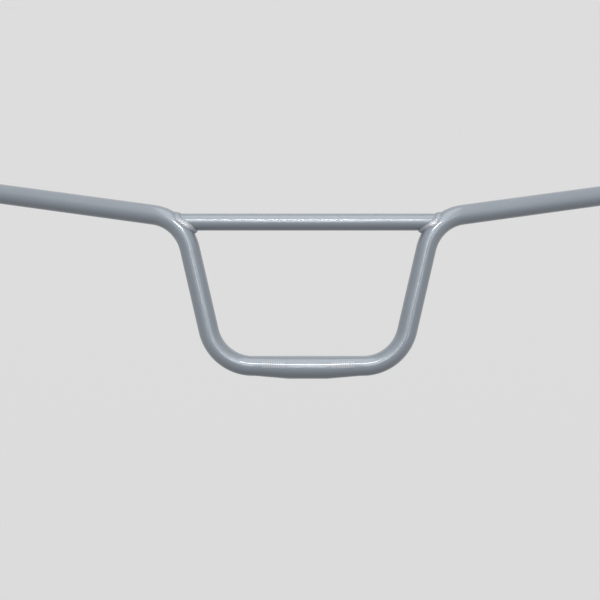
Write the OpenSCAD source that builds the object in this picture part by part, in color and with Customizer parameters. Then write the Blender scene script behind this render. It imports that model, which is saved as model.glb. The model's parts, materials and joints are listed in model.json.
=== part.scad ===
// Motorcycle handlebar: one bent steel tube with a thicker clamp centre, a braced
// crossbar coped between the two upper bends, and a fillet weld at each of its ends.
// Millimetres. The origin is the middle of the clamp centre, +X to one side,
// +Y toward the rider and +Z up the rises. The two sides mirror each other.

/* [Overall] */
// Width over both open ends
overall_width = 760; // [640:5:900]

/* [Main tube] */
// Outside diameter of the tube
tube_d = 22.2; // [18:0.1:25.4]
// Wall of the tube
tube_wall = 2; // [1.4:0.1:3]

/* [Clamp centre] */
// Diameter where the stem clamp grips
clamp_d = 25.4; // [24:0.1:31.8]
// Length of the round clamp centre
clamp_len = 42; // [30:1:60]
// Length of the taper on each side of the clamp centre
taper_len = 37; // [20:1:60]
// Straight tube left between a taper and its bend
flat_margin = 2.5; // [1:0.5:40]

/* [Bends] */
// Centreline radius of the two lower bends
lower_bend_r = 50; // [38:1:80]
// Lean of each rise away from upright, in degrees
rise_lean = 13; // [4:1:25]
// Straight length of each rise between its bends
rise_len = 92.5; // [60:0.5:130]
// Centreline radius of the two upper bends
upper_bend_r = 49; // [38:1:80]
// Upward slope of each grip, in degrees
upsweep = 8; // [0:1:15]
// Rearward slope of each grip, in degrees
backsweep = 11; // [0:1:25]

/* [Crossbar] */
// How much slimmer the crossbar is than the main tube, in diameter
crossbar_step = 3.2; // [1:0.1:8]
// Wall of the crossbar
crossbar_wall = 1.6; // [1:0.1:2.5]
// Drop of the crossbar's axis below the outer end of the upper bends
crossbar_drop = 8.2; // [6:0.1:30]

/* [Welds] */
// Leg of each fillet weld along the tube and along the crossbar
weld_leg = 5; // [2:0.5:7]
// Height of the weld's rounded face above its flat chord
weld_crown = 0.9; // [0.2:0.1:1.5]
// Fit-up gap between the coped crossbar and the tube
cope_gap = 0.05; // [0.02:0.01:0.3]
// Clearance kept under each weld bead
bead_clearance = 0.06; // [0.05:0.01:0.2]

/* [Hidden] */
$fn = 96;

paint = [0.47, 0.51, 0.56];
bead_paint = [0.42, 0.46, 0.51];

tube_r = tube_d / 2;
clamp_r = clamp_d / 2;
crossbar_r = (tube_d - crossbar_step) / 2;

// Neighbouring lengths of tube lap by this much, and bends are this much slimmer than
// the straights, so no two surfaces lie exactly on each other.
lap = 0.3;
ease = 0.03;

// The tube's top line runs straight through the taper and the clamp centre,
// so the tube's axis lies above the clamp's.
tube_axis_z = clamp_r - tube_r;
taper_start = clamp_len / 2;
taper_end = taper_start + taper_len;
half_flat = taper_end + flat_margin;

function unit(v) = v / norm(v);

// Where a bend that starts at p along d and turns by angle toward n ends.
function bend_end(p, d, n, r, angle) = p + r * (sin(angle) * d + (1 - cos(angle)) * n);

// Right-hand centreline: flat, lower bend, rise, upper bend, grip.
flat_dir = [1, 0, 0];
lower_turn = [0, 0, 1];
lower_angle = 90 - rise_lean;
rise_dir = [sin(rise_lean), 0, cos(rise_lean)];
grip_dir = [cos(upsweep) * cos(backsweep), cos(upsweep) * sin(backsweep), sin(upsweep)];
upper_angle = acos(rise_dir * grip_dir);
upper_turn = unit(grip_dir - (rise_dir * grip_dir) * rise_dir);

lower_start = [half_flat, 0, tube_axis_z];
rise_start = bend_end(lower_start, flat_dir, lower_turn, lower_bend_r, lower_angle);
upper_start = rise_start + rise_len * rise_dir;
grip_start = bend_end(upper_start, rise_dir, upper_turn, upper_bend_r, upper_angle);
end_reach = overall_width / 2 - tube_r * sqrt(1 - grip_dir.x * grip_dir.x);
grip_len = (end_reach - grip_start.x) / grip_dir.x;

// Signed gap from point q to the outside of the right-hand rise, bend and grip.
function leg_distance(q, p, d, len) =
    let (t = min(max((q - p) * d, 0), len))
    norm(q - p - t * d);

function bend_distance(q, p, d, n, r, angle) =
    let (v = q - (p + r * n))
    let (out = -v * n, along = v * d, side = v * cross(d, n))
    let (turned = atan2(along, out))
    turned < 0 || turned > angle ? 1e6 : norm([norm([out, along]) - r, side]);

function tube_gap(q) = min(
    leg_distance(q, rise_start, rise_dir, rise_len),
    bend_distance(q, upper_start, rise_dir, upper_turn, upper_bend_r, upper_angle),
    leg_distance(q, grip_start, grip_dir, grip_len)) - tube_r;

// Direction straight out of the tube's surface at q.
probe = 0.01;
function tube_normal(q) = unit([
    for (axis = [[1, 0, 0], [0, 1, 0], [0, 0, 1]])
        tube_gap(q + probe * axis) - tube_gap(q - probe * axis)]);

// Turn inside the upper bend at which the centreline reaches the height z.
function turn_at_height(z, low = 0, high = upper_angle, steps = 30) =
    let (middle = (low + high) / 2)
    steps == 0 ? middle
    : bend_end(upper_start, rise_dir, upper_turn, upper_bend_r, middle).z < z
        ? turn_at_height(z, middle, high, steps - 1)
        : turn_at_height(z, low, middle, steps - 1);

// The crossbar's axis meets the centreline of each upper bend.
crossbar_z = grip_start.z - crossbar_drop;
crossbar_end = bend_end(upper_start, rise_dir, upper_turn, upper_bend_r, turn_at_height(crossbar_z));
crossbar_half = crossbar_end.x;
crossbar_y = crossbar_end.y;

// Point on a line along the crossbar, at radius r and angle a around it,
// where the gap to the tube comes down to the given value.
function around_crossbar(a, r, x) = [x, crossbar_y + r * cos(a), crossbar_z + r * sin(a)];

function seam_point(a, r, gap, low, high, steps = 30) =
    let (middle = (low + high) / 2)
    steps == 0 ? around_crossbar(a, r, middle)
    : tube_gap(around_crossbar(a, r, middle)) > gap
        ? seam_point(a, r, gap, middle, high, steps - 1)
        : seam_point(a, r, gap, low, middle, steps - 1);

// Steps along the tube's surface away from the crossbar, kept at the given gap.
function settle(q, gap) = q - (tube_gap(q) - gap) * tube_normal(q);
function creep(q, away, step) =
    let (out = tube_normal(q))
    settle(q + step * unit(away - (away * out) * out), bead_clearance);
function creep_path(q, away, step, count) =
    count == 0 ? [] : let (next = creep(q, away, step))
        concat([next], creep_path(next, away, step, count - 1));

// Section of a bead at angle a: its root, its foot along the tube out to one toe,
// its rounded face, and its other toe on the crossbar.
foot_steps = 4;
face_steps = 5;
bead_stations = 64;
bead_reach = 40;

function bead_section(a) =
    let (away = [0, cos(a), sin(a)])
    let (root = seam_point(a, crossbar_r + bead_clearance, bead_clearance,
        crossbar_half - bead_reach, crossbar_half))
    let (foot = creep_path(root, away, weld_leg / foot_steps, foot_steps))
    let (tube_toe = foot[foot_steps - 1])
    let (bar_toe = root - weld_leg * flat_dir)
    let (out = unit(tube_normal(root) + away))
    let (face = [for (i = [1 : face_steps - 1])
        let (s = i / face_steps)
        tube_toe + s * (bar_toe - tube_toe) + 4 * s * (1 - s) * weld_crown * out])
    concat([root], foot, face, [bar_toe]);

section_points = 1 + foot_steps + face_steps;

// A round tube of radius r and length len from p along d.
module straight(p, d, len, r) {
    side = unit(abs(d.z) < 0.9 ? cross(d, [0, 0, 1]) : cross(d, [0, 1, 0]));
    third = cross(d, side);
    multmatrix([
        [side.x, third.x, d.x, p.x],
        [side.y, third.y, d.y, p.y],
        [side.z, third.z, d.z, p.z]])
        cylinder(h = len, r = r);
}

// A round bend that starts at p along d and turns by angle toward n.
module bend(p, d, n, bend_r, angle, r) {
    centre = p + bend_r * n;
    axis = cross(d, n);
    multmatrix([
        [-n.x, d.x, axis.x, centre.x],
        [-n.y, d.y, axis.y, centre.y],
        [-n.z, d.z, axis.z, centre.z]])
        rotate_extrude(angle = angle)
            translate([bend_r, 0])
                circle(r = r);
}

// Everything outboard of the right-hand taper. Inset thins it by the wall,
// and extra runs it on past the open end.
module bent_side(inset = 0, extra = 0) {
    r = tube_r - inset;
    slim = inset > 0 ? -ease : ease;
    straight([taper_end, 0, tube_axis_z], flat_dir, flat_margin + lap, r);
    bend(lower_start, flat_dir, lower_turn, lower_bend_r, lower_angle, r - slim);
    straight(rise_start - lap * rise_dir, rise_dir, rise_len + 2 * lap, r);
    bend(upper_start, rise_dir, upper_turn, upper_bend_r, upper_angle, r - slim);
    straight(grip_start - lap * grip_dir, grip_dir, grip_len + lap + extra, r);
}

// Taper from the clamp centre down to the tube. It is a right cone tilted up so that
// its top line runs level, cut square at both ends.
module taper(inset = 0) {
    slope = atan2(clamp_d - tube_d, taper_len) / 2;
    top = clamp_r - inset - 2 * ease;
    girth = top * cos(2 * slope) / cos(slope);
    run_out = clamp_r;
    full = taper_len + 2 * run_out;
    intersection() {
        translate([taper_start, 0, top])
            rotate([0, -slope, 0])
                translate([-run_out, 0, -girth])
                    rotate([0, 90, 0])
                        cylinder(h = full,
                            r1 = girth + run_out * tan(slope),
                            r2 = girth - (full - run_out) * tan(slope));
        translate([taper_start - ease, -clamp_d, -clamp_d])
            cube([taper_len + 2 * ease, 2 * clamp_d, 2 * clamp_d]);
    }
}

// The whole solid run of tube, inset by the wall for its bore.
module tube_run(inset = 0, extra = 0) {
    straight([-taper_start, 0, 0], flat_dir, clamp_len, clamp_r - inset);
    for (side = [0, 1])
        mirror([side, 0, 0]) {
            taper(inset);
            bent_side(inset, extra);
        }
}

module main_tube() {
    color(paint)
        difference() {
            tube_run();
            tube_run(inset = tube_wall, extra = 1);
        }
}

module crossbar() {
    color(paint)
        difference() {
            straight([-crossbar_half, crossbar_y, crossbar_z], flat_dir, 2 * crossbar_half, crossbar_r);
            straight([-crossbar_half - 1, crossbar_y, crossbar_z], flat_dir, 2 * crossbar_half + 2,
                crossbar_r - crossbar_wall);
            for (side = [0, 1])
                mirror([side, 0, 0])
                    bent_side(inset = -cope_gap);
        }
}

// Closed fillet bead around the right-hand cope.
module bead() {
    sections = [for (i = [0 : bead_stations - 1]) bead_section(360 * i / bead_stations)];
    points = [for (section = sections) each section];
    function at(i, j) = (i % bead_stations) * section_points + j % section_points;
    faces = [for (i = [0 : bead_stations - 1], j = [0 : section_points - 1])
        each [
            [at(i, j), at(i + 1, j), at(i + 1, j + 1)],
            [at(i, j), at(i + 1, j + 1), at(i, j + 1)]]];
    polyhedron(points = points, faces = faces, convexity = 6);
}

module left_weld() {
    color(bead_paint)
        mirror([1, 0, 0])
            bead();
}

module right_weld() {
    color(bead_paint)
        bead();
}

main_tube();
crossbar();
left_weld();
right_weld();
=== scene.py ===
"""Studio model of a braced motorcycle handlebar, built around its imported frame.

The bar is one bent tube with a thicker clamp centre, a coped crossbar between its two
upper bends, a rippled weld at each end of the crossbar, and fine printed ticks beside
the clamp. All lengths are in metres.
"""

from __future__ import annotations

import json
import logging
import math
from collections.abc import Callable, Sequence
from dataclasses import dataclass
from enum import Enum

import bmesh
import bpy
from mathutils import Matrix, Vector


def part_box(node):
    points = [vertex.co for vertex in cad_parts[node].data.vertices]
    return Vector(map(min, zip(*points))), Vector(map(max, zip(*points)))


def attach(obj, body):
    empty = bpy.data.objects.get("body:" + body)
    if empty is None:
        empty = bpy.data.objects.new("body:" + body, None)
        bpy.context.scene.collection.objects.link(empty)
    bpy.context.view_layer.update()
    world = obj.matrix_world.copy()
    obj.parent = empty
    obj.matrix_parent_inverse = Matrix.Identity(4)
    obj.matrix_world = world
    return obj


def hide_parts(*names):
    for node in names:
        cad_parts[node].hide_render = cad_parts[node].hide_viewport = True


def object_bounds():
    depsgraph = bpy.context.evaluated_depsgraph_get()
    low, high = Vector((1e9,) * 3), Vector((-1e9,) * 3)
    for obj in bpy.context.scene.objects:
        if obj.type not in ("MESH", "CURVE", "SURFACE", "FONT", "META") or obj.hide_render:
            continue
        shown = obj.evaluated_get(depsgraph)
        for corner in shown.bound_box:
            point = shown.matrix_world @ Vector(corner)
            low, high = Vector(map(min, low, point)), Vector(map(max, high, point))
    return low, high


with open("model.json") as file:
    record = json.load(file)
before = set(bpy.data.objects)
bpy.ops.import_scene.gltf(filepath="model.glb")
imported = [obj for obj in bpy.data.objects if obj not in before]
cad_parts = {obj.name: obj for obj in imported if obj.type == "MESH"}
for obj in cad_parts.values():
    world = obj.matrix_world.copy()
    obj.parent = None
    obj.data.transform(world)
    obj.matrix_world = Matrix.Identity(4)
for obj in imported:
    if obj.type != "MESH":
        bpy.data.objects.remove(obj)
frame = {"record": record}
CAD_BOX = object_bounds()

log = logging.getLogger("handlebar")

MM = 0.001
BODY = "root"
BAR_MIDDLE = (0, 0, 0.09)
HALVINGS = 40
FAR_AWAY = 1e6
TUBE_CREASE = math.radians(40)
WELD_CREASE = math.radians(60)

Feeds = Sequence[object] | dict[str | int, object]


class Side(Enum):
    """The two sides of the bar, by the sign of X."""

    LEFT = -1
    RIGHT = 1


class Slot(Enum):
    """The record's material slots."""

    BAR = "bar_paint"
    WELD = "weld_paint"


# ---------------- nodes


class NodeDesk:
    """Adds nodes to one tree and wires them."""

    def __init__(self, tree: bpy.types.NodeTree) -> None:
        """Keeps the tree.

        Args:
            tree: The node tree to work on.
        """
        self.tree = tree

    def add(self, kind: str, feeds: Feeds = (), **settings: object) -> bpy.types.Node:
        """Adds one node.

        Args:
            kind: The node's type name.
            feeds: What goes into its inputs, in order or by name: a socket to link, a
                value to set, or None to leave an input alone.
            **settings: Properties of the node, such as operation.

        Returns:
            The new node.
        """
        node = self.tree.nodes.new(kind)
        for name, value in settings.items():
            setattr(node, name, value)
        for key, feed in feeds.items() if isinstance(feeds, dict) else enumerate(feeds):
            self.feed(node.inputs[key], feed)
        return node

    def feed(self, socket: bpy.types.NodeSocket, source: object) -> None:
        """Links a socket to a source, or sets its value.

        Args:
            socket: The input to feed.
            source: A socket, a value, or None to leave the input alone.
        """
        if isinstance(source, bpy.types.NodeSocket):
            self.tree.links.new(source, socket)
        elif source is not None:
            socket.default_value = source

    def math(self, operation: str, *feeds: object) -> bpy.types.NodeSocket:
        """Adds a Math node and returns its result."""
        return self.add("ShaderNodeMath", feeds, operation=operation).outputs[0]

    def vector(self, operation: str, *feeds: object) -> bpy.types.NodeSocket:
        """Adds a Vector Math node and returns its vector."""
        return self.add("ShaderNodeVectorMath", feeds, operation=operation).outputs[0]

    def scaled(self, vector: object, factor: object) -> bpy.types.NodeSocket:
        """Returns a vector times a number."""
        feeds = {"Vector": vector, "Scale": factor}
        return self.add("ShaderNodeVectorMath", feeds, operation="SCALE").outputs[0]

    def noise(
        self, place: object, scale: object, detail: float = 2.0, seed: object = None
    ) -> bpy.types.NodeSocket:
        """Adds a noise texture.

        Args:
            place: Where it is read.
            scale: Its waves per metre.
            detail: How many finer layers it has.
            seed: A fourth coordinate, or None for three.

        Returns:
            The noise, from 0 to 1.
        """
        feeds = {"Vector": place, "Scale": scale, "Detail": detail}
        kind = "3D"
        if seed is not None:
            feeds["W"] = seed
            kind = "4D"
        return self.add("ShaderNodeTexNoise", feeds, noise_dimensions=kind).outputs[0]

    def attribute(self, name: str) -> bpy.types.NodeSocket:
        """Reads a float attribute of the mesh by its name."""
        return self.add("GeometryNodeInputNamedAttribute", [name], data_type="FLOAT").outputs[0]


@dataclass(frozen=True)
class Dial:
    """A named socket of a tree: its first value and its type."""

    name: str
    value: object = None
    kind: str = "NodeSocketFloat"


@dataclass(frozen=True)
class PathSpot:
    """Sockets for a place round a path: its centre, radius, tangent and way out."""

    centre: bpy.types.NodeSocket
    radius: bpy.types.NodeSocket
    tangent: bpy.types.NodeSocket
    out: bpy.types.NodeSocket


class ShapeTree:
    """A Geometry Nodes tree with named inputs, whose result becomes a plain mesh."""

    def __init__(self, name: str, dials: Sequence[Dial]) -> None:
        """Makes an empty tree with its inputs.

        Args:
            name: The tree's name.
            dials: The inputs after the geometry itself.
        """
        self.tree = bpy.data.node_groups.new(name, "GeometryNodeTree")
        self.desk = NodeDesk(self.tree)
        face = self.tree.interface
        face.new_socket(name="Geometry", in_out="INPUT", socket_type="NodeSocketGeometry")
        self.sockets: dict[str, str] = {}
        for dial in dials:
            made = face.new_socket(name=dial.name, in_out="INPUT", socket_type=dial.kind)
            if dial.value is not None:
                made.default_value = dial.value
            self.sockets[dial.name] = made.identifier
        face.new_socket(name="Geometry", in_out="OUTPUT", socket_type="NodeSocketGeometry")
        self.source = self.desk.add("NodeGroupInput")

    def dial(self, name: str) -> bpy.types.NodeSocket:
        """Returns the socket that carries an input's value inside the tree."""
        return self.source.outputs[name]

    def around_path(self, share: object, angle: object) -> PathSpot:
        """Reads a place round the path of the Path input.

        Args:
            share: Share of the path's length.
            angle: Angle round the path.

        Returns:
            The place.
        """
        desk = self.desk
        curve = desk.add("GeometryNodeObjectInfo", [self.dial("Path")]).outputs["Geometry"]
        radius = desk.add("GeometryNodeInputRadius").outputs[0]
        feeds = {"Curves": curve, "Value": radius, "Factor": share}
        spot = desk.add("GeometryNodeSampleCurve", feeds, mode="FACTOR", data_type="FLOAT").outputs
        across = desk.vector("CROSS_PRODUCT", spot["Tangent"], spot["Normal"])
        ahead = desk.scaled(spot["Normal"], desk.math("COSINE", angle))
        beside = desk.scaled(across, desk.math("SINE", angle))
        out = desk.vector("ADD", ahead, beside)
        return PathSpot(spot["Position"], spot["Value"], spot["Tangent"], out)

    def close(self, geometry: bpy.types.NodeSocket) -> None:
        """Ends the tree with Realize Instances and Set Material.

        Args:
            geometry: The finished shape.
        """
        real = self.desk.add("GeometryNodeRealizeInstances", [geometry]).outputs[0]
        dressed = self.desk.add("GeometryNodeSetMaterial", [real, None, self.dial("Finish")])
        self.desk.add("NodeGroupOutput", [dressed.outputs[0]])

    def apply(self, start: bpy.types.Mesh, name: str, values: dict[str, object]) -> bpy.types.Object:
        """Runs the tree on a mesh.

        Args:
            start: The mesh that goes in.
            name: The name of the finished piece.
            values: A value for each named input that differs from its first one.

        Returns:
            An object with a plain mesh and no modifier.
        """
        rough = add_object(name + "_rough", start)
        shape = rough.modifiers.new(self.tree.name, "NODES")
        shape.node_group = self.tree
        for label, value in values.items():
            shape[self.sockets[label]] = value
        rough.update_tag()
        graph = bpy.context.evaluated_depsgraph_get()
        mesh = bpy.data.meshes.new_from_object(rough.evaluated_get(graph), depsgraph=graph)
        rough.modifiers.clear()
        bpy.data.objects.remove(rough)
        mesh.name = name
        return add_object(name, mesh)


# ---------------- small helpers


def add_object(name: str, data: bpy.types.ID) -> bpy.types.Object:
    """Makes an object at the origin and links it to the scene.

    Args:
        name: The object's name.
        data: Its mesh, curve, light or camera.

    Returns:
        The object.
    """
    made = bpy.data.objects.new(name, data)
    bpy.context.scene.collection.objects.link(made)
    return made


def torus_mesh(name: str, rings: Sequence[Sequence[Sequence[float]]]) -> bpy.types.Mesh:
    """Makes a closed mesh from rings that join head to tail, each of them closed.

    Args:
        name: The mesh's name.
        rings: Rings of points, all with the same count.

    Returns:
        The mesh, with vertices in ring order.
    """
    count, turn = len(rings), len(rings[0])
    faces = [
        (
            i * turn + j,
            i * turn + (j + 1) % turn,
            (i + 1) % count * turn + (j + 1) % turn,
            (i + 1) % count * turn + j,
        )
        for i in range(count)
        for j in range(turn)
    ]
    mesh = bpy.data.meshes.new(name)
    mesh.from_pydata([point for ring in rings for point in ring], [], faces)
    return mesh


def write_attribute(mesh: bpy.types.Mesh, name: str, values: Sequence[float]) -> None:
    """Stores one float per vertex under a name."""
    layer = mesh.attributes.new(name, "FLOAT", "POINT")
    layer.data.foreach_set("value", values)


def fix_normals(mesh: bpy.types.Mesh) -> None:
    """Turns every face of a closed mesh outwards.

    Args:
        mesh: The mesh to mend.
    """
    shell = bmesh.new()
    shell.from_mesh(mesh)
    bmesh.ops.recalc_face_normals(shell, faces=shell.faces)
    shell.to_mesh(mesh)
    shell.free()


def smooth(piece: bpy.types.Object, crease: float) -> None:
    """Points every face outwards and shades the piece smooth.

    Args:
        piece: The piece.
        crease: The angle past which an edge stays sharp.
    """
    fix_normals(piece.data)
    piece.data.shade_smooth()
    piece.data.set_sharp_from_angle(angle=crease)


def full_turn(count: int) -> list[float]:
    """Lists evenly spaced angles round a full turn."""
    return [2 * math.pi * j / count for j in range(count)]


def bisect(test: Callable[[float], bool], low: float, high: float) -> float:
    """Finds where a test turns from true to false.

    Args:
        test: True below the answer and false above it.
        low: A value at which the test holds.
        high: A value at which it doesn't.

    Returns:
        The crossing, to well under a micrometre.
    """
    for _ in range(HALVINGS):
        middle = (low + high) / 2
        if test(middle):
            low = middle
        else:
            high = middle
    return (low + high) / 2


# ---------------- the bar's plan


@dataclass(frozen=True)
class Leg:
    """A straight length of centreline."""

    start: Vector
    along: Vector
    length: float

    def point(self, way: float) -> Vector:
        """Returns the point at a distance along the leg."""
        return self.start + way * self.along

    def distance(self, spot: Vector) -> float:
        """Returns how far a spot lies from the leg."""
        way = min(max((spot - self.start).dot(self.along), 0.0), self.length)
        return (spot - self.point(way)).length


@dataclass(frozen=True)
class Bend:
    """An arc of centreline that starts along one direction and turns toward another."""

    start: Vector
    along: Vector
    toward: Vector
    radius: float
    angle: float

    @property
    def length(self) -> float:
        """Length of the arc."""
        return self.radius * self.angle

    def point(self, way: float) -> Vector:
        """Returns the point at a distance along the arc."""
        a = way / self.radius
        return self.start + self.radius * (math.sin(a) * self.along + (1 - math.cos(a)) * self.toward)

    def distance(self, spot: Vector) -> float:
        """Measures how far a spot lies from the arc.

        Args:
            spot: The spot.

        Returns:
            The distance, or FAR_AWAY past the arc's ends.
        """
        offset = spot - (self.start + self.radius * self.toward)
        out, ahead = -offset.dot(self.toward), offset.dot(self.along)
        side = offset.dot(self.along.cross(self.toward))
        turned = math.atan2(ahead, out)
        if turned < 0 or turned > self.angle:
            return FAR_AWAY
        return math.hypot(math.hypot(out, ahead) - self.radius, side)


@dataclass
class BarPlan:
    """Sizes and centreline of the right-hand half of the bar; the left mirrors it."""

    taper_len: float = 37 * MM
    flat_margin: float = 2.5 * MM
    lower_bend_r: float = 50 * MM
    rise_lean: float = math.radians(13)
    rise_len: float = 92.5 * MM
    upper_bend_r: float = 49 * MM
    clamp_steps: int = 4

    def __post_init__(self) -> None:
        """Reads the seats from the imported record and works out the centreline."""
        mounts = {mount["name"]: mount for mount in frame["record"]["mounts"]}
        clamp, grip = mounts["stem_clamp"], mounts["right_grip_seat"]
        self.clamp_r = clamp["dims"]["r_mm"] * MM
        self.clamp_len = clamp["dims"]["length_mm"] * MM
        self.tube_r = grip["dims"]["r_mm"] * MM
        self.wall = self.tube_r - mounts["right_end_bore"]["dims"]["r_mm"] * MM
        self.axis_z = self.clamp_r - self.tube_r
        outward, up = Vector((1, 0, 0)), Vector((0, 0, 1))
        grip_dir = Vector(grip["axis"]).normalized()
        rise_dir = Vector((math.sin(self.rise_lean), 0, math.cos(self.rise_lean)))

        self.clamp_end = self.clamp_len / 2
        self.taper_end = self.clamp_end + self.taper_len
        self.flat = Leg(Vector((self.taper_end, 0, self.axis_z)), outward, self.flat_margin)
        corner = self.flat.point(self.flat.length)
        self.lower = Bend(corner, outward, up, self.lower_bend_r, math.pi / 2 - self.rise_lean)
        self.rise = Leg(self.lower.point(self.lower.length), rise_dir, self.rise_len)
        top = self.rise.point(self.rise_len)
        turn = (grip_dir - rise_dir.dot(grip_dir) * rise_dir).normalized()
        self.upper = Bend(top, rise_dir, turn, self.upper_bend_r, rise_dir.angle(grip_dir))
        grip_start = self.upper.point(self.upper.length)
        reach = CAD_BOX[1][0] - self.tube_r * math.sqrt(1 - grip_dir.x**2)
        self.grip = Leg(grip_start, grip_dir, (reach - grip_start.x) / grip_dir.x)

    def gap(self, spot: Vector) -> float:
        """Returns the signed gap from a spot to the outside of the right-hand tube."""
        return min(part.distance(spot) for part in (self.rise, self.upper, self.grip)) - self.tube_r

    def normal(self, spot: Vector) -> Vector:
        """Finds the direction straight out of the tube's surface.

        Args:
            spot: A spot near the surface.

        Returns:
            The direction, one unit long.
        """
        probe = 0.01 * MM
        steps = (Vector((probe, 0, 0)), Vector((0, probe, 0)), Vector((0, 0, probe)))
        return Vector([self.gap(spot + s) - self.gap(spot - s) for s in steps]).normalized()

    def full_line(self, bend_step: float, leg_step: float) -> list[tuple[Vector, float]]:
        """Lists the whole centreline from the left end to the right end.

        Args:
            bend_step: Greatest distance between points in a bend or the taper.
            leg_step: The same on a straight.

        Returns:
            Points, each with the tube's outside radius there.
        """
        right: list[tuple[Vector, float]] = []
        for i in range(1, self.clamp_steps + 1):
            right.append((Vector((self.clamp_end * i / self.clamp_steps, 0, 0)), self.clamp_r))
        count = math.ceil(self.taper_len / bend_step / 2)
        for i in range(1, count + 1):
            t = i / count
            spot = Vector((self.clamp_end + t * self.taper_len, 0, t * self.axis_z))
            right.append((spot, self.clamp_r + t * (self.tube_r - self.clamp_r)))
        for part, step in (
            (self.flat, leg_step),
            (self.lower, bend_step),
            (self.rise, leg_step),
            (self.upper, bend_step),
            (self.grip, leg_step),
        ):
            count = math.ceil(part.length / step)
            right += [(part.point(part.length * i / count), self.tube_r) for i in range(1, count + 1)]
        left = [(Vector((-p.x, p.y, p.z)), r) for p, r in reversed(right)]
        return [*left, (Vector((0, 0, 0)), self.clamp_r), *right]


def path_object(name: str, line: Sequence[tuple[Vector, float]]) -> bpy.types.Object:
    """Makes a poly curve with a radius at each point, whose normals stay level.

    Args:
        name: The object's name.
        line: The curve's points and radii.

    Returns:
        The curve object.
    """
    curve = bpy.data.curves.new(name, "CURVE")
    curve.dimensions = "3D"
    curve.twist_mode = "Z_UP"
    spline = curve.splines.new("POLY")
    spline.points.add(len(line) - 1)
    for point, (spot, radius) in zip(spline.points, line):
        point.co = (*spot, 1)
        point.radius = radius
    return add_object(name, curve)


# ---------------- shared trees


def wall_tree() -> ShapeTree:
    """Builds the tree that wraps a tube's wall round a path.

    The mesh that goes in has a vertex for each spot on the wall, with attributes along
    (share of the path's length), inward (0 outside to 1 at the bore) and around (angle).

    Returns:
        The tree, with the inputs Path, Wall and Finish.
    """
    made = ShapeTree(
        "wrap_wall",
        [
            Dial("Path", kind="NodeSocketObject"),
            Dial("Wall", 2 * MM),
            Dial("Finish", kind="NodeSocketMaterial"),
        ],
    )
    desk = made.desk
    spot = made.around_path(desk.attribute("along"), desk.attribute("around"))
    depth = desk.math("MULTIPLY", desk.attribute("inward"), made.dial("Wall"))
    reach = desk.math("SUBTRACT", spot.radius, depth)
    place = desk.vector("ADD", spot.centre, desk.scaled(spot.out, reach))
    moved = desk.add("GeometryNodeSetPosition", [made.dial("Geometry"), None, place])
    made.close(moved.outputs[0])
    return made


def ripple_tree() -> ShapeTree:
    """Builds the tree that raises a weld's ripples and lumps.

    The mesh that goes in has attributes along (0 to 1 round the seam), across (0 to 1
    over the face) and crown (0 at the toes to 1 on top).

    Returns:
        The tree, with the inputs Ripples, Bow, Height, Lumps, Lump Size, Seed and Finish.
    """
    made = ShapeTree(
        "raise_ripples",
        [
            Dial("Ripples", 40.0),
            Dial("Bow", 3.0),
            Dial("Height", 0.2 * MM),
            Dial("Lumps", 0.3 * MM),
            Dial("Lump Size", 4 * MM),
            Dial("Seed", 1.0),
            Dial("Finish", kind="NodeSocketMaterial"),
        ],
    )
    desk = made.desk
    middle = desk.math("SUBTRACT", desk.attribute("across"), 0.5)
    bow = desk.math("MULTIPLY", desk.math("MULTIPLY", middle, middle), made.dial("Bow"))
    count = desk.math("MULTIPLY", desk.attribute("along"), made.dial("Ripples"))
    phase = desk.math("FRACT", desk.math("ADD", count, bow))
    centred = desk.math("MULTIPLY_ADD", phase, 2.0, -1.0)
    hump = desk.math("SUBTRACT", 1.0, desk.math("MULTIPLY", centred, centred))
    ripple = desk.math("MULTIPLY", hump, made.dial("Height"))

    place = desk.add("GeometryNodeInputPosition").outputs[0]
    scale = desk.math("DIVIDE", 1.0, made.dial("Lump Size"))
    noise = desk.noise(place, scale, seed=made.dial("Seed"))
    lump = desk.math("MULTIPLY", desk.math("SUBTRACT", noise, 0.5), made.dial("Lumps"))

    rise = desk.math("MULTIPLY", desk.math("ADD", ripple, lump), desk.attribute("crown"))
    normal = desk.add("GeometryNodeInputNormal").outputs[0]
    feeds = {"Geometry": made.dial("Geometry"), "Offset": desk.scaled(normal, rise)}
    made.close(desk.add("GeometryNodeSetPosition", feeds).outputs[0])
    return made


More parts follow.
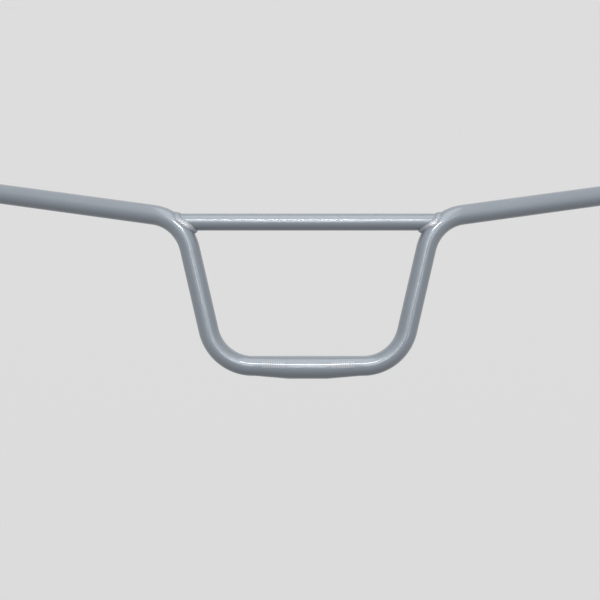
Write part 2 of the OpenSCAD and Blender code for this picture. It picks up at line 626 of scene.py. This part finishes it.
def tick_tree() -> ShapeTree:
    """Builds the tree that sets rows of small ticks on a tube's surface.

    Returns:
        The tree. First and Last are shares of the path's length, and rows are angles
        round the tube.
    """
    made = ShapeTree(
        "set_ticks",
        [
            Dial("Path", kind="NodeSocketObject"),
            Dial("Rows", 7, "NodeSocketInt"),
            Dial("Row Step", 0.1),
            Dial("First Row", 0.0),
            Dial("Columns", 5, "NodeSocketInt"),
            Dial("First", 0.0),
            Dial("Last", 1.0),
            Dial("Tick Length", 3 * MM),
            Dial("Tick Width", 0.4 * MM),
            Dial("Tick Height", 0.05 * MM),
            Dial("Finish", kind="NodeSocketMaterial"),
        ],
    )
    desk = made.desk
    total = desk.math("MULTIPLY", made.dial("Rows"), made.dial("Columns"))
    points = desk.add("GeometryNodePoints", [total]).outputs[0]
    index = desk.add("GeometryNodeInputIndex").outputs[0]
    row = desk.math("FLOOR", desk.math("DIVIDE", index, made.dial("Columns")))
    column = desk.math("MODULO", index, made.dial("Columns"))
    share = desk.math("DIVIDE", column, desk.math("SUBTRACT", made.dial("Columns"), 1.0))
    span = desk.math("SUBTRACT", made.dial("Last"), made.dial("First"))
    along = desk.math("MULTIPLY_ADD", share, span, made.dial("First"))
    angle = desk.math("MULTIPLY_ADD", row, made.dial("Row Step"), made.dial("First Row"))

    spot = made.around_path(along, angle)
    place = desk.vector("ADD", spot.centre, desk.scaled(spot.out, spot.radius))
    placed = desk.add("GeometryNodeSetPosition", [points, None, place]).outputs[0]
    sizes = [made.dial(name) for name in ("Tick Length", "Tick Width", "Tick Height")]
    tick_size = desk.add("ShaderNodeCombineXYZ", sizes).outputs[0]
    tick = desk.add("GeometryNodeMeshCube", [tick_size]).outputs[0]
    axes = {"Primary Axis": spot.out, "Secondary Axis": spot.tangent}
    upright = desk.add("FunctionNodeAxesToRotation", axes, primary_axis="Z", secondary_axis="X")
    feeds = {"Points": placed, "Instance": tick, "Rotation": upright.outputs[0]}
    made.close(desk.add("GeometryNodeInstanceOnPoints", feeds).outputs[0])
    return made


# ---------------- finishes


class ShaderParts:
    """Shader node groups that more than one finish uses, each built once."""

    def __init__(self) -> None:
        """Builds the groups."""
        self.flake = self._flake()
        self.peel = self._peel()

    @staticmethod
    def _group(name: str, inputs: Sequence[Dial], outputs: Sequence[Dial]) -> bpy.types.NodeTree:
        """Makes an empty shader group with named sockets.

        Args:
            name: The group's name.
            inputs: Its inputs, with their first values.
            outputs: Its outputs.

        Returns:
            The group.
        """
        tree = bpy.data.node_groups.new(name, "ShaderNodeTree")
        for dial in inputs:
            made = tree.interface.new_socket(name=dial.name, in_out="INPUT", socket_type=dial.kind)
            made.default_value = dial.value
        for dial in outputs:
            tree.interface.new_socket(name=dial.name, in_out="OUTPUT", socket_type=dial.kind)
        return tree

    def _flake(self) -> bpy.types.NodeTree:
        """Builds metal flake: cells of slightly different lightness, and soft mottling.

        Returns:
            The group.
        """
        tree = self._group(
            "metal_flake",
            [
                Dial("Flake Scale", 2500.0),
                Dial("Flake Amount", 0.1),
                Dial("Mottle Scale", 25.0),
                Dial("Mottle Amount", 0.06),
                Dial("Color", (0.2, 0.23, 0.27, 1.0), "NodeSocketColor"),
            ],
            [Dial("Color", kind="NodeSocketColor"), Dial("Mottle")],
        )
        desk = NodeDesk(tree)
        source = desk.add("NodeGroupInput").outputs
        place = desk.add("ShaderNodeTexCoord").outputs["Object"]
        cells = desk.add("ShaderNodeTexVoronoi", {"Vector": place, "Scale": source["Flake Scale"]})
        grain = desk.add("ShaderNodeSeparateColor", [cells.outputs["Color"]]).outputs[0]
        cloud = desk.noise(place, source["Mottle Scale"], detail=4.0)
        flake = desk.math("MULTIPLY", desk.math("SUBTRACT", grain, 0.5), source["Flake Amount"])
        mottle = desk.math("MULTIPLY", desk.math("SUBTRACT", cloud, 0.5), source["Mottle Amount"])
        gain = desk.math("ADD", desk.math("ADD", flake, mottle), 1.0)
        tinted = desk.scaled(source["Color"], gain)
        desk.add("NodeGroupOutput", [tinted, cloud])
        return tree

    def _peel(self) -> bpy.types.NodeTree:
        """Builds orange peel: the gentle waves of sprayed paint, as a height.

        Returns:
            The group.
        """
        tree = self._group(
            "orange_peel",
            [Dial("Peel Scale", 450.0), Dial("Grit Scale", 2200.0), Dial("Grit Share", 0.15)],
            [Dial("Height")],
        )
        desk = NodeDesk(tree)
        source = desk.add("NodeGroupInput").outputs
        place = desk.add("ShaderNodeTexCoord").outputs["Object"]
        waves = desk.noise(place, source["Peel Scale"], detail=1.0)
        grit = desk.noise(place, source["Grit Scale"])
        height = desk.math("MULTIPLY_ADD", grit, source["Grit Share"], waves)
        desk.add("NodeGroupOutput", [height])
        return tree


def new_material(name: str) -> tuple[bpy.types.Material, NodeDesk]:
    """Makes a material with no nodes.

    Args:
        name: The material's name.

    Returns:
        The material, and a desk for its nodes.
    """
    material = bpy.data.materials.new(name)
    material.use_nodes = True
    material.node_tree.nodes.clear()
    return material, NodeDesk(material.node_tree)


@dataclass(frozen=True)
class Paint:
    """A sprayed metallic paint under a thin clear coat."""

    name: str
    color: tuple[float, float, float]
    metallic: float = 0.5
    roughness: float = 0.4
    roughness_spread: float = 0.05
    coat: float = 1.0
    coat_roughness: float = 0.1
    flake_amount: float = 0.12
    mottle_amount: float = 0.08
    peel_depth: float = 0.004 * MM

    def material(self, parts: ShaderParts) -> bpy.types.Material:
        """Builds the paint as a material.

        Args:
            parts: The shared shader groups.

        Returns:
            The material.
        """
        material, desk = new_material(self.name)
        amounts = {
            "Flake Amount": self.flake_amount,
            "Mottle Amount": self.mottle_amount,
            "Color": (*self.color, 1.0),
        }
        flake = desk.add("ShaderNodeGroup", amounts, node_tree=parts.flake)
        peel = desk.add("ShaderNodeGroup", node_tree=parts.peel).outputs["Height"]
        bump = desk.add("ShaderNodeBump", {"Distance": self.peel_depth, "Height": peel})
        mottle = flake.outputs["Mottle"]
        look = {
            "Base Color": self.tint(desk, flake),
            "Metallic": self.metallic,
            "Roughness": desk.math("MULTIPLY_ADD", mottle, self.roughness_spread, self.roughness),
            "Coat Weight": self.coat,
            "Coat Roughness": self.coat_roughness,
            "Normal": bump.outputs[0],
        }
        shader = desk.add("ShaderNodeBsdfPrincipled", look)
        desk.add("ShaderNodeOutputMaterial", [shader.outputs[0]])
        return material

    def tint(self, desk: NodeDesk, flake: bpy.types.Node) -> bpy.types.NodeSocket:
        """Returns the paint's colour over the surface."""
        return flake.outputs["Color"]


@dataclass(frozen=True)
class WeldPaint(Paint):
    """The bar's paint on a weld, with a painted highlight: a pale tone along the lump's crests."""

    # The painted highlight: its pale tone, and how strongly it is mixed in.
    highlight_color: tuple[float, float, float] = (0.6, 0.6, 0.62)
    highlight_amount: float = 1.6
    crest_power: float = 1.5
    cloud_gain: float = 1.6
    cloud_base: float = -0.3

    def tint(self, desk: NodeDesk, flake: bpy.types.Node) -> bpy.types.NodeSocket:
        """Mixes a painted highlight, a pale tone, in along the crests of the lump.

        Args:
            desk: The desk of the material's nodes.
            flake: The material's flake group.

        Returns:
            The colour over the surface.
        """
        crown = desk.add("ShaderNodeAttribute", attribute_name="crown").outputs["Fac"]
        lump = desk.add("ShaderNodeAttribute", attribute_name="lump").outputs["Fac"]
        # Painted highlight: the pale tone goes where the crown is high on the lump, broken up by the
        # mottle.
        cloud = desk.math("MULTIPLY_ADD", flake.outputs["Mottle"], self.cloud_gain, self.cloud_base)
        share = desk.math("MULTIPLY", desk.math("POWER", crown, self.crest_power), lump)
        share = desk.math("MULTIPLY", share, desk.math("MULTIPLY", cloud, self.highlight_amount))
        feeds = {0: share, 6: flake.outputs["Color"], 7: (*self.highlight_color, 1.0)}
        return desk.add("ShaderNodeMix", feeds, data_type="RGBA", clamp_factor=True).outputs[2]


@dataclass(frozen=True)
class Ink:
    """Matt printing ink with a slightly worn tone."""

    name: str
    color: tuple[float, float, float]
    roughness: float = 0.6
    flake_amount: float = 0.05
    mottle_scale: float = 400.0
    mottle_amount: float = 0.3

    def material(self, parts: ShaderParts) -> bpy.types.Material:
        """Builds the ink as a material.

        Args:
            parts: The shared shader groups.

        Returns:
            The material.
        """
        material, desk = new_material(self.name)
        wear = {
            "Flake Amount": self.flake_amount,
            "Mottle Scale": self.mottle_scale,
            "Mottle Amount": self.mottle_amount,
            "Color": (*self.color, 1.0),
        }
        worn = desk.add("ShaderNodeGroup", wear, node_tree=parts.flake)
        look = {"Base Color": worn.outputs["Color"], "Roughness": self.roughness}
        shader = desk.add("ShaderNodeBsdfPrincipled", look)
        desk.add("ShaderNodeOutputMaterial", [shader.outputs[0]])
        return material


@dataclass(frozen=True)
class Paper:
    """Plain pale studio paper, with a soft wash of light that grows up the wall."""

    name: str
    tone: float
    floor_glow: float
    wall_glow: float
    roughness: float = 0.9

    def material(self, low: float, high: float) -> bpy.types.Material:
        """Builds the paper as a material.

        Args:
            low: Height of the floor.
            high: Height at which the wall's wash is full.

        Returns:
            The material.
        """
        material, desk = new_material(self.name)
        place = desk.add("ShaderNodeTexCoord").outputs["Object"]
        height = desk.add("ShaderNodeSeparateXYZ", [place]).outputs["Z"]
        wash = desk.add("ShaderNodeMapRange", [height, low, high, self.floor_glow, self.wall_glow])
        look = {
            "Base Color": (self.tone, self.tone, self.tone, 1.0),
            "Roughness": self.roughness,
            "Specular IOR Level": 0.0,
            "Emission Color": wash.outputs[0],
            "Emission Strength": 1.0,
        }
        shader = desk.add("ShaderNodeBsdfPrincipled", look)
        desk.add("ShaderNodeOutputMaterial", [shader.outputs[0]])
        return material


BAR_PAINT = Paint("satin_blue_grey", (0.22, 0.25, 0.285))
WELD_PAINT = WeldPaint("weld_blue_grey", (0.225, 0.255, 0.29), flake_amount=0.16, mottle_amount=0.25)
FAINT_INK = Ink("faint_ink", (0.42, 0.44, 0.45))
PALE_INK = Ink("pale_ink", (0.54, 0.55, 0.55))
PAPER = Paper("paper", tone=0.5, floor_glow=0.22, wall_glow=0.345)


# ---------------- pieces


def wrap_wall(
    tree: ShapeTree, name: str, values: dict[str, object], rings: Sequence[Sequence[tuple[float, ...]]]
) -> bpy.types.Object:
    """Wraps a tube's wall round a path, which is then removed.

    Args:
        tree: The tree that wraps a wall round a path.
        name: The finished piece's name.
        values: The tree's Path, Wall and Finish.
        rings: Rings of spots, each as along, inward and around.

    Returns:
        The piece.
    """
    mesh = torus_mesh(name + "_wall", rings)
    for index, label in enumerate(("along", "inward", "around")):
        write_attribute(mesh, label, [spot[index] for ring in rings for spot in ring])
    piece = tree.apply(mesh, name, values)
    bpy.data.objects.remove(values["Path"])
    smooth(piece, TUBE_CREASE)
    return piece


@dataclass
class MainTube:
    """The bent tube, hollow and open at both ends."""

    plan: BarPlan
    around: int = 72
    bend_step: float = 1.6 * MM
    leg_step: float = 9 * MM
    lip: float = 0.45 * MM
    lip_steps: int = 4
    lip_margin: float = 0.5 * MM

    def build(self, tree: ShapeTree, paint: bpy.types.Material) -> bpy.types.Object:
        """Wraps the wall round the centreline.

        Args:
            tree: The tree that wraps a wall round a path.
            paint: The tube's paint.

        Returns:
            The tube.
        """
        line = self.plan.full_line(self.bend_step, self.leg_step)
        ways = [0.0]
        for (a, _), (b, _) in zip(line, line[1:]):
            ways.append(ways[-1] + (b - a).length)
        total = ways[-1]
        body = [w for w in ways if 2 * self.lip_margin < w < total - 2 * self.lip_margin]
        outer = [(w, 0.0) for w in body]
        inner = [(w, 1.0) for w in reversed(body)]
        rows = outer + self._lip(total, 1) + inner + self._lip(total, -1)
        turn = full_turn(self.around)
        rings = [[(way / total, inward, a) for a in turn] for way, inward in rows]
        path = path_object("tube_path", line)
        values = {"Path": path, "Wall": self.plan.wall, "Finish": paint}
        piece = wrap_wall(tree, "bar_tube", values, rings)
        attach(piece, BODY)
        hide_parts("main_tube")
        return piece

    def _lip(self, total: float, end: int) -> list[tuple[float, float]]:
        """Lists the rounded rim at one end, as distances along and shares of the wall.

        Args:
            total: Length of the centreline.
            end: 1 for the far end, read outside to bore, and -1 for the near end, read
                bore to outside.

        Returns:
            The rim's rows.
        """
        share = self.lip / self.plan.wall
        quarter = [math.pi / 2 * i / self.lip_steps for i in range(self.lip_steps + 1)]
        rim = [(-self.lip - self.lip_margin, 0.0)]
        rim += [(self.lip * (math.sin(a) - 1), share * (1 - math.cos(a))) for a in quarter]
        rim += [(way, 1 - inward) for way, inward in reversed(rim)]
        if end > 0:
            return [(total + way, inward) for way, inward in rim]
        return [(-way, inward) for way, inward in reversed(rim)]


@dataclass
class Crossbar:
    """The straight brace, coped at both ends to sit on the upper bends."""

    plan: BarPlan
    wall: float = 1.6 * MM
    cope_gap: float = 0.05 * MM
    around: int = 96
    rows: int = 24
    search: float = 50 * MM

    def __post_init__(self) -> None:
        """Reads the crossbar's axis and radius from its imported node."""
        low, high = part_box("crossbar")
        self.radius = (high[2] - low[2]) / 2
        self.y = (high[1] + low[1]) / 2
        self.z = (high[2] + low[2]) / 2
        upper = self.plan.upper
        way = bisect(lambda w: upper.point(w).z < self.z, 0.0, upper.length)
        self.half = upper.point(way).x

    def spot(self, angle: float, radius: float, x: float) -> Vector:
        """Returns a point at an angle and a radius round the crossbar's axis."""
        return Vector((x, self.y - radius * math.cos(angle), self.z - radius * math.sin(angle)))

    def seam(self, angle: float, radius: float, gap: float) -> float:
        """Returns how far out a line along the crossbar runs before it meets the bend.

        Args:
            angle: Angle round the crossbar's axis.
            radius: The line's distance from that axis.
            gap: The gap to the bend's surface at which the line stops.

        Returns:
            The X of the meeting point on the right.
        """
        return bisect(
            lambda x: self.plan.gap(self.spot(angle, radius, x)) > gap,
            self.half - self.search,
            self.half,
        )

    def build(self, tree: ShapeTree, paint: bpy.types.Material) -> bpy.types.Object:
        """Wraps the wall along the crossbar's axis and copes both ends.

        Args:
            tree: The tree that wraps a wall round a path.
            paint: The crossbar's paint.

        Returns:
            The crossbar.
        """
        ends = [(Vector((s.value * self.half, self.y, self.z)), self.radius) for s in Side]
        path = path_object("crossbar_path", ends)
        turn = full_turn(self.around)
        bore = self.radius - self.wall
        outer = [self.seam(a, self.radius, self.cope_gap) for a in turn]
        inner = [self.seam(a, bore, self.cope_gap) for a in turn]
        steps = [2 * i / (self.rows - 1) - 1 for i in range(self.rows)]
        spots = [(s, 0.0, outer) for s in steps] + [(-s, 1.0, inner) for s in steps]
        rings = [
            [((s * reach / self.half + 1) / 2, side, a) for a, reach in zip(turn, cope)]
            for s, side, cope in spots
        ]
        values = {"Path": path, "Wall": self.wall, "Finish": paint}
        piece = wrap_wall(tree, "brace_tube", values, rings)
        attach(piece, BODY)
        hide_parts("crossbar")
        return piece


@dataclass
class Weld:
    """One rippled fillet bead round an end of the crossbar, with a lump at its stop."""

    plan: BarPlan
    bar: Crossbar
    side: Side
    seed: float
    lump_turn: float
    lump_spread: float
    bar_lump: float = 0.0
    tube_lump: float = 0.0
    tube_leg: float = 3.9 * MM
    bar_leg: float = 4.9 * MM
    crown: float = 0.45 * MM
    lump_crown: float = 0.7 * MM
    sink: float = 0.12 * MM
    width_wander: float = 0.1
    ripples: float = 31.0
    ripple_height: float = 0.24 * MM
    stations: int = 384
    face_steps: int = 14
    foot_steps: int = 5
    slow_waves: int = 3
    quick_waves: int = 7
    quick_share: float = 0.6
    seed_twist: float = 2.3
    crown_rise: float = 2.2

    def build(self, tree: ShapeTree, paint: bpy.types.Material) -> bpy.types.Object:
        """Sweeps the bead round the seam and raises its ripples.

        Args:
            tree: The tree that raises ripples.
            paint: The weld's paint.

        Returns:
            The weld.
        """
        sections = [self._section(i / self.stations) for i in range(self.stations)]
        rings = [[spot for spot, _, _ in section] for section in sections]
        mesh = torus_mesh("weld_bead", rings)
        if self.side is Side.LEFT:
            mesh.transform(Matrix.Scale(-1, 4, Vector((1, 0, 0))))
        fix_normals(mesh)
        count = len(rings[0])
        ways = [i / self.stations for i in range(self.stations) for _ in range(count)]
        write_attribute(mesh, "along", ways)
        write_attribute(mesh, "across", [a for section in sections for _, a, _ in section])
        write_attribute(mesh, "crown", [c for section in sections for _, _, c in section])
        # The lump attribute also tells the weld paint where to put its painted highlight.
        write_attribute(mesh, "lump", [self._lump(way) for way in ways])
        name = self.side.name.lower()
        dials = {
            "Ripples": self.ripples,
            "Height": self.ripple_height,
            "Seed": self.seed,
            "Finish": paint,
        }
        piece = tree.apply(mesh, f"{name}_bead", dials)
        smooth(piece, WELD_CREASE)
        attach(piece, BODY)
        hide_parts(f"{name}_weld")
        return piece

    def _section(self, share: float) -> list[tuple[Vector, float, float]]:
        """Lists the bead's outline at one place round the seam.

        Args:
            share: 0 to 1 round the seam.

        Returns:
            Points, each with its share across the face and its share of the crown.
        """
        angle = 2 * math.pi * share
        slow = math.sin(self.slow_waves * angle + self.seed)
        quick = math.sin(self.quick_waves * angle + self.seed_twist * self.seed)
        wave = slow + self.quick_share * quick
        wander = 1 + self.width_wander * wave / (1 + self.quick_share)
        lump = self._lump(share)
        tube_leg = self.tube_leg * wander + self.tube_lump * lump
        bar_leg = self.bar_leg * wander + self.bar_lump * lump
        crown = self.crown + self.lump_crown * lump
        radius = self.bar.radius - self.sink
        root = self.bar.spot(angle, radius, self.bar.seam(angle, radius, -self.sink))
        away = Vector((0, -math.cos(angle), -math.sin(angle)))
        foot = [root]
        for _ in range(self.foot_steps):
            foot.append(self._creep(foot[-1], away, tube_leg / self.foot_steps))
        tube_toe, bar_toe = foot[-1], root - Vector((bar_leg, 0, 0))
        out = (self.plan.normal(root) + away).normalized()
        outline = [(spot, 0.0, 0.0) for spot in foot]
        for i in range(1, self.face_steps):
            s = i / self.face_steps
            arch = 4 * s * (1 - s)
            spot = tube_toe.lerp(bar_toe, s) + arch * crown * out
            outline.append((spot, s, min(1.0, self.crown_rise * arch)))
        outline.append((bar_toe, 1.0, 0.0))
        return outline

    def _lump(self, share: float) -> float:
        """Returns the lump's strength, 0 to 1, at a share of the way round the seam."""
        off = math.remainder(2 * math.pi * share - self.lump_turn, 2 * math.pi)
        return math.exp(-((off / self.lump_spread) ** 2))

    def _creep(self, spot: Vector, away: Vector, step: float) -> Vector:
        """Steps along the tube's surface, just under the paint.

        Args:
            spot: Where to step from.
            away: The direction away from the crossbar's axis.
            step: The step's length.

        Returns:
            The next spot.
        """
        out = self.plan.normal(spot)
        ahead = (away - away.dot(out) * out).normalized()
        spot = spot + step * ahead
        return spot - (self.plan.gap(spot) + self.sink) * self.plan.normal(spot)


@dataclass
class ClampTicks:
    """Fine printed ticks on each taper, for setting the bar straight in its clamp."""

    plan: BarPlan
    rows: int = 7
    columns: int = 13
    row_step: float = math.radians(5)
    middle_row: float = math.radians(-12.5)
    near: float = 26.5 * MM
    far: float = 50 * MM
    tick_len: float = 1.15 * MM
    tick_width: float = 0.5 * MM
    tick_height: float = 0.06 * MM
    path_step: float = 2 * MM

    def build(self, tree: ShapeTree, ink: bpy.types.Material, side: Side) -> bpy.types.Object:
        """Sets one patch of ticks.

        Args:
            tree: The tree that sets ticks.
            ink: The ticks' ink.
            side: The side of the clamp to put them on.

        Returns:
            The patch.
        """
        whole = self.plan.full_line(self.path_step, self.path_step)
        line = [point for point in whole if abs(point[0].x) <= self.plan.taper_end]
        path = path_object("taper_path", line)
        total = sum((b - a).length for (a, _), (b, _) in zip(line, line[1:]))
        shares = [0.5 + side.value * x / total for x in (self.near, self.far)]
        first_row = self.middle_row - self.row_step * (self.rows - 1) / 2
        piece = tree.apply(
            bpy.data.meshes.new("no_ticks"),
            f"{side.name.lower()}_ticks",
            {
                "Path": path,
                "Rows": self.rows,
                "Row Step": self.row_step,
                "First Row": first_row,
                "Columns": self.columns,
                "First": shares[0],
                "Last": shares[1],
                "Tick Length": self.tick_len,
                "Tick Width": self.tick_width,
                "Tick Height": self.tick_height,
                "Finish": ink,
            },
        )
        bpy.data.objects.remove(path)
        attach(piece, BODY)
        return piece


# ---------------- studio


@dataclass(frozen=True)
class Softbox:
    """A rectangular lamp that faces the bar's middle; azimuth grows from the front to +X."""

    name: str
    azimuth: float
    elevation: float
    distance: float
    width: float
    height: float
    watts: float

    def build(self) -> None:
        """Adds the lamp, turned to the bar."""
        turn, tilt = math.radians(self.azimuth), math.radians(self.elevation)
        side = self.distance * math.sin(turn) * math.cos(tilt)
        back = -self.distance * math.cos(turn) * math.cos(tilt)
        place = Vector((side, back, BAR_MIDDLE[2] + self.distance * math.sin(tilt)))
        data = bpy.data.lights.new(self.name, "AREA")
        data.shape = "RECTANGLE"
        data.size, data.size_y = self.width, self.height
        data.energy = self.watts
        lamp = add_object(self.name, data)
        lamp.location = place
        lamp.rotation_euler = (Vector(BAR_MIDDLE) - place).to_track_quat("-Z", "Y").to_euler()
        lamp.visible_camera = False


@dataclass
class Studio:
    """Floor, lights, surrounding tone and camera."""

    floor_drop: float = 2.2
    wall_r: float = 5.2
    sweep_r: float = 2.4
    wall_top: float = 7.0
    bowl_turns: int = 96
    flat_steps: int = 4
    sweep_steps: int = 24
    eye_side: float = -8.75 * MM
    eye_height: float = 74.05 * MM
    eye_distance: float = 2.0
    lens: float = 109.06
    sensor: float = 36
    far_clip: float = 50
    sky: float = 0.96
    horizon: float = 0.64
    ground: float = 0.3
    backdrop: float = 0.723
    ground_band: tuple[float, float] = (-1, -0.4)
    sky_band: tuple[float, float] = (0.1, 0.55)

    def build(self) -> None:
        """Builds the whole studio."""
        self._camera()
        self._floor()
        self._tone()
        for box in (
            Softbox("key_box", 0, 27, 2.4, 0.62, 0.2, 12),
            Softbox("low_box", 0, 5, 2.6, 0.3, 0.5, 2.4),
            Softbox("front_strip", 0, 19, 2.5, 1.15, 1.75, 5),
            Softbox("top_strip", 0, 68, 2.0, 0.85, 1.8, 7.5),
            Softbox("left_fill", -23, 2, 2.6, 0.45, 1.2, 1.4),
            Softbox("right_fill", 23, 2, 2.6, 0.45, 1.2, 4.2),
        ):
            box.build()

    def _camera(self) -> None:
        """Adds the camera, level and square to the bar."""
        data = bpy.data.cameras.new("camera")
        data.sensor_width = self.sensor
        data.lens = self.lens
        data.clip_end = self.far_clip
        camera = add_object("camera", data)
        camera.location = (self.eye_side, -self.eye_distance, self.eye_height)
        camera.rotation_euler = (math.pi / 2, 0, 0)
        bpy.context.scene.camera = camera

    def _floor(self) -> None:
        """Adds the round floor, which sweeps up into a wall on every side.

        Only the camera sees it, so it neither shades the bar nor shows in its gloss.
        """
        low = CAD_BOX[0][2] - self.floor_drop
        flat = self.wall_r - self.sweep_r
        profile = [(flat * i / self.flat_steps, low) for i in range(1, self.flat_steps + 1)]
        for i in range(1, self.sweep_steps + 1):
            a = math.pi / 2 * i / self.sweep_steps
            profile.append((flat + self.sweep_r * math.sin(a), low + self.sweep_r * (1 - math.cos(a))))
        profile.append((self.wall_r, low + self.wall_top))
        spots = [(0.0, 0.0, low)]
        turns = full_turn(self.bowl_turns)
        spots += [(r * math.cos(a), r * math.sin(a), z) for r, z in profile for a in turns]
        count = self.bowl_turns
        faces = [(0, 1 + j, 1 + (j + 1) % count) for j in range(count)]
        for inner in range(1, 1 + count * (len(profile) - 1), count):
            pairs = [(j, (j + 1) % count) for j in range(count)]
            faces += [(inner + j, inner + count + j, inner + count + k, inner + k) for j, k in pairs]
        mesh = bpy.data.meshes.new("floor")
        mesh.from_pydata(spots, [], faces)
        mesh.shade_smooth()
        floor = add_object("floor", mesh)
        floor.data.materials.append(PAPER.material(low, low + self.sweep_r))
        floor.visible_diffuse = False
        floor.visible_glossy = False
        floor.visible_shadow = False

    def _tone(self) -> None:
        """Surrounds the bar with a tone that brightens upwards, and keeps colours as they are."""
        world = bpy.data.worlds.new("studio")
        bpy.context.scene.world = world
        world.use_nodes = True
        world.node_tree.nodes.clear()
        desk = NodeDesk(world.node_tree)
        way = desk.add("ShaderNodeTexCoord").outputs["Generated"]
        height = desk.add("ShaderNodeSeparateXYZ", [way]).outputs["Z"]
        low = desk.add("ShaderNodeMapRange", [height, *self.ground_band, self.ground, self.horizon])
        gain = self.sky - self.horizon
        high = desk.add("ShaderNodeMapRange", [height, *self.sky_band, 0, gain])
        tone = desk.math("ADD", low.outputs[0], high.outputs[0])
        seen = desk.add("ShaderNodeLightPath").outputs["Is Camera Ray"]
        strength = desk.add("ShaderNodeMix", [seen, None, tone, self.backdrop])
        glow = desk.add("ShaderNodeBackground", [(1, 1, 1, 1), strength.outputs[0]])
        desk.add("ShaderNodeOutputWorld", [glow.outputs[0]])
        bpy.context.scene.view_settings.view_transform = "Standard"


def main() -> None:
    """Builds the handlebar and its studio."""
    logging.basicConfig(level=logging.INFO, format="%(name)s: %(message)s")
    Studio().build()
    plan = BarPlan()
    parts = ShaderParts()
    paint, weld_paint = BAR_PAINT.material(parts), WELD_PAINT.material(parts)
    inks = {Side.LEFT: FAINT_INK.material(parts), Side.RIGHT: PALE_INK.material(parts)}
    walls, ripples, ticks = wall_tree(), ripple_tree(), tick_tree()

    made = [MainTube(plan).build(walls, paint)]
    crossbar = Crossbar(plan)
    made.append(crossbar.build(walls, paint))
    turn = math.radians
    # Each lump also sets where the weld paint's painted highlight falls.
    lump = {"lump_turn": turn(10), "lump_spread": turn(27), "bar_lump": 1.6 * MM}
    left = Weld(plan, crossbar, Side.LEFT, seed=1.7, **lump)
    lump = {"lump_turn": turn(5), "lump_spread": turn(15), "tube_lump": 1.4 * MM}
    right = Weld(plan, crossbar, Side.RIGHT, seed=4.2, tube_leg=3.2 * MM, **lump)
    for weld in (left, right):
        made.append(weld.build(ripples, weld_paint))
        made.append(ClampTicks(plan).build(ticks, inks[weld.side], weld.side))
    for piece in made:
        faces = sum(len(face.vertices) - 2 for face in piece.data.polygons)
        log.info("%s: %d triangles", piece.name, faces)


if __name__ == "__main__":
    main()
